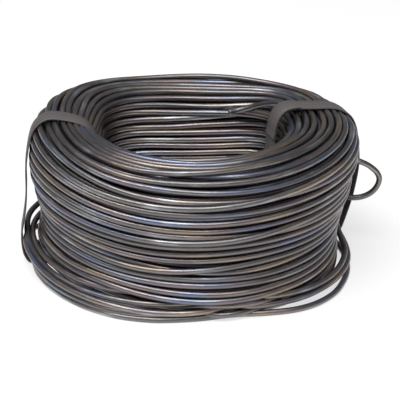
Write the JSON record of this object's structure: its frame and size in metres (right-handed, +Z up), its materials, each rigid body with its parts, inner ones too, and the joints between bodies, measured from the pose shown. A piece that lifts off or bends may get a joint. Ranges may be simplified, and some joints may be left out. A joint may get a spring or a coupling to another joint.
{
  "type": "coil of annealed tie wire",
  "caption": "Short, fat coil of black annealed steel tie wire standing on its end, bound by flat straps round its section, with a slack turn round the foot and both wire ends loose.",
  "frame": {"origin": "middle of the bore at floor level, where the coil stands on its end", "axes": "+Z up along the bore; -Y is the pictured front; +X points to the right strap and the loose tail"},
  "size_m": [0.111, 0.1, 0.047],
  "materials": {
    "annealed_wire": "satin, dark oxide skin with temper colours",
    "strapping": "matt"
  },
  "bodies": {
    "root": {"wire_coil": "annealed_wire", "strap_left": "strapping", "strap_right": "strapping"}
  },
  "joints": []
}
